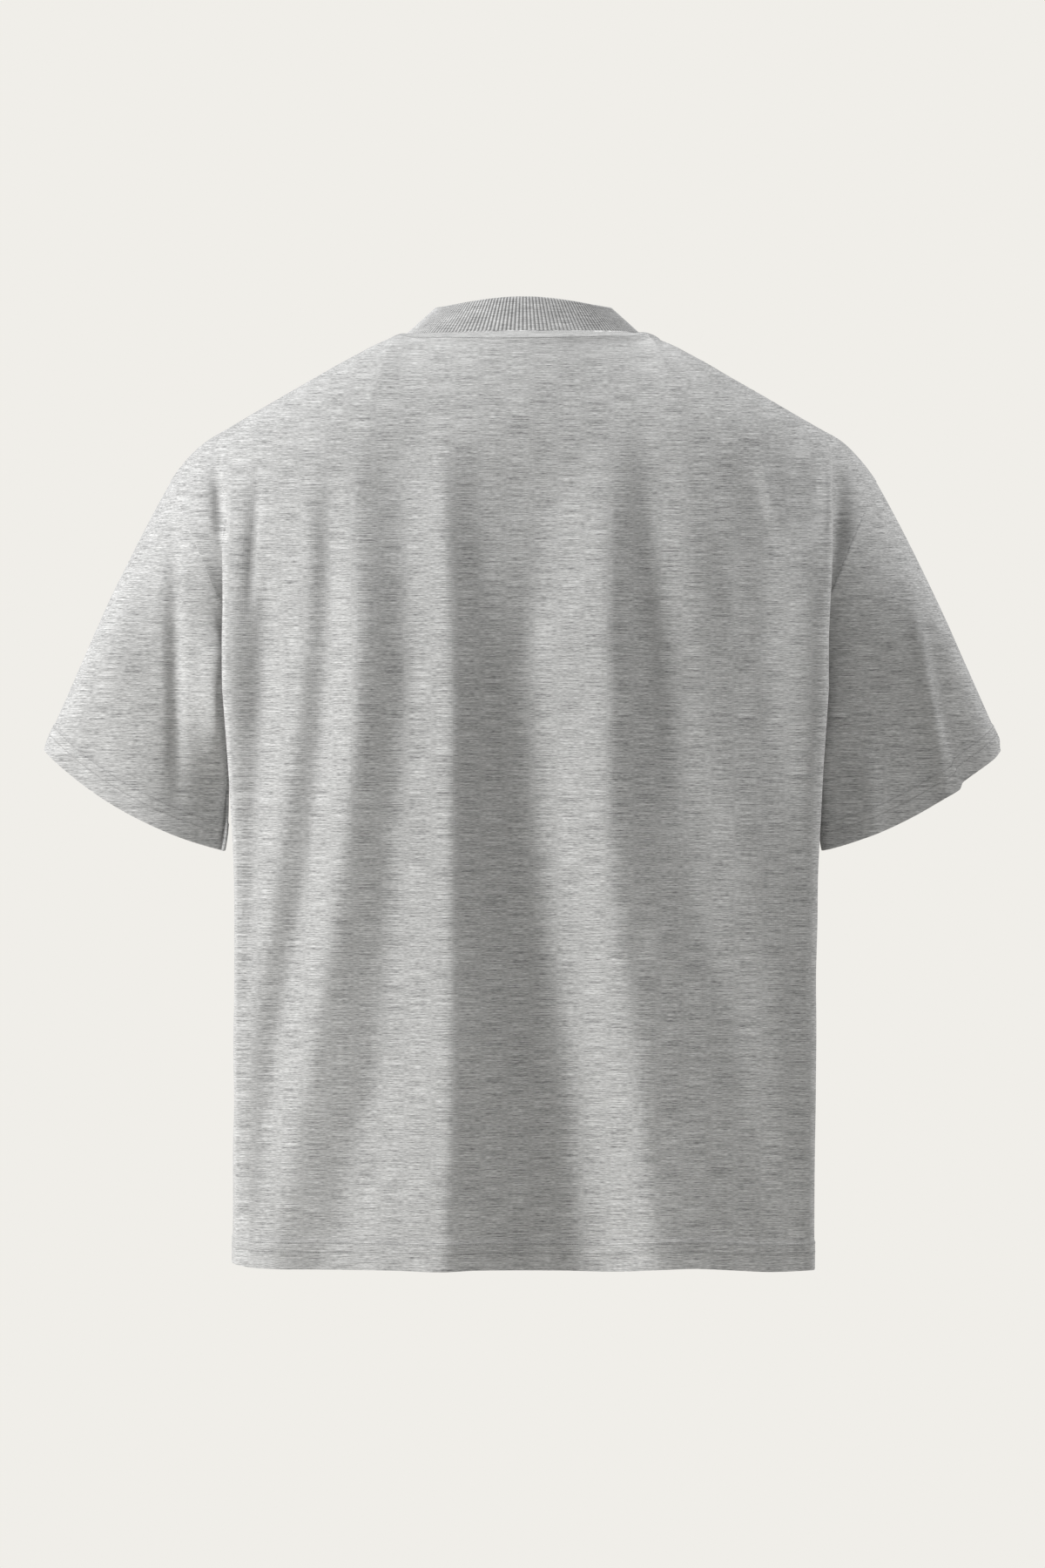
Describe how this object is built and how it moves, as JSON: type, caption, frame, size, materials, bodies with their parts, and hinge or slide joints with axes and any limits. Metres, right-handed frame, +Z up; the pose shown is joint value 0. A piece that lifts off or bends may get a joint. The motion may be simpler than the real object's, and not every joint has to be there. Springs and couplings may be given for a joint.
{
  "type": "high neck t-shirt",
  "caption": "Boxy drop-shoulder jersey t-shirt with short wide sleeves and a standing rib neck, hollow as worn.",
  "frame": {"origin": "middle of the neck at shoulder height, where the wearer's neck and shoulders hold the shirt up", "axes": "+Z up, +X towards the wearer's left sleeve, +Y out of the back"},
  "size_m": [0.74, 0.2812, 0.7472],
  "materials": {
    "back_panel": "matt heather grey single jersey",
    "front_panel": "matt heather grey single jersey",
    "sleeve_left": "matt heather grey single jersey",
    "sleeve_right": "matt heather grey single jersey",
    "neck_rib": "matt heather grey one-by-one rib"
  },
  "bodies": {
    "root": {"back_panel": "back_panel", "front_panel": "front_panel", "sleeve_left": "sleeve_left", "sleeve_right": "sleeve_right", "neck_rib": "neck_rib"}
  },
  "joints": []
}
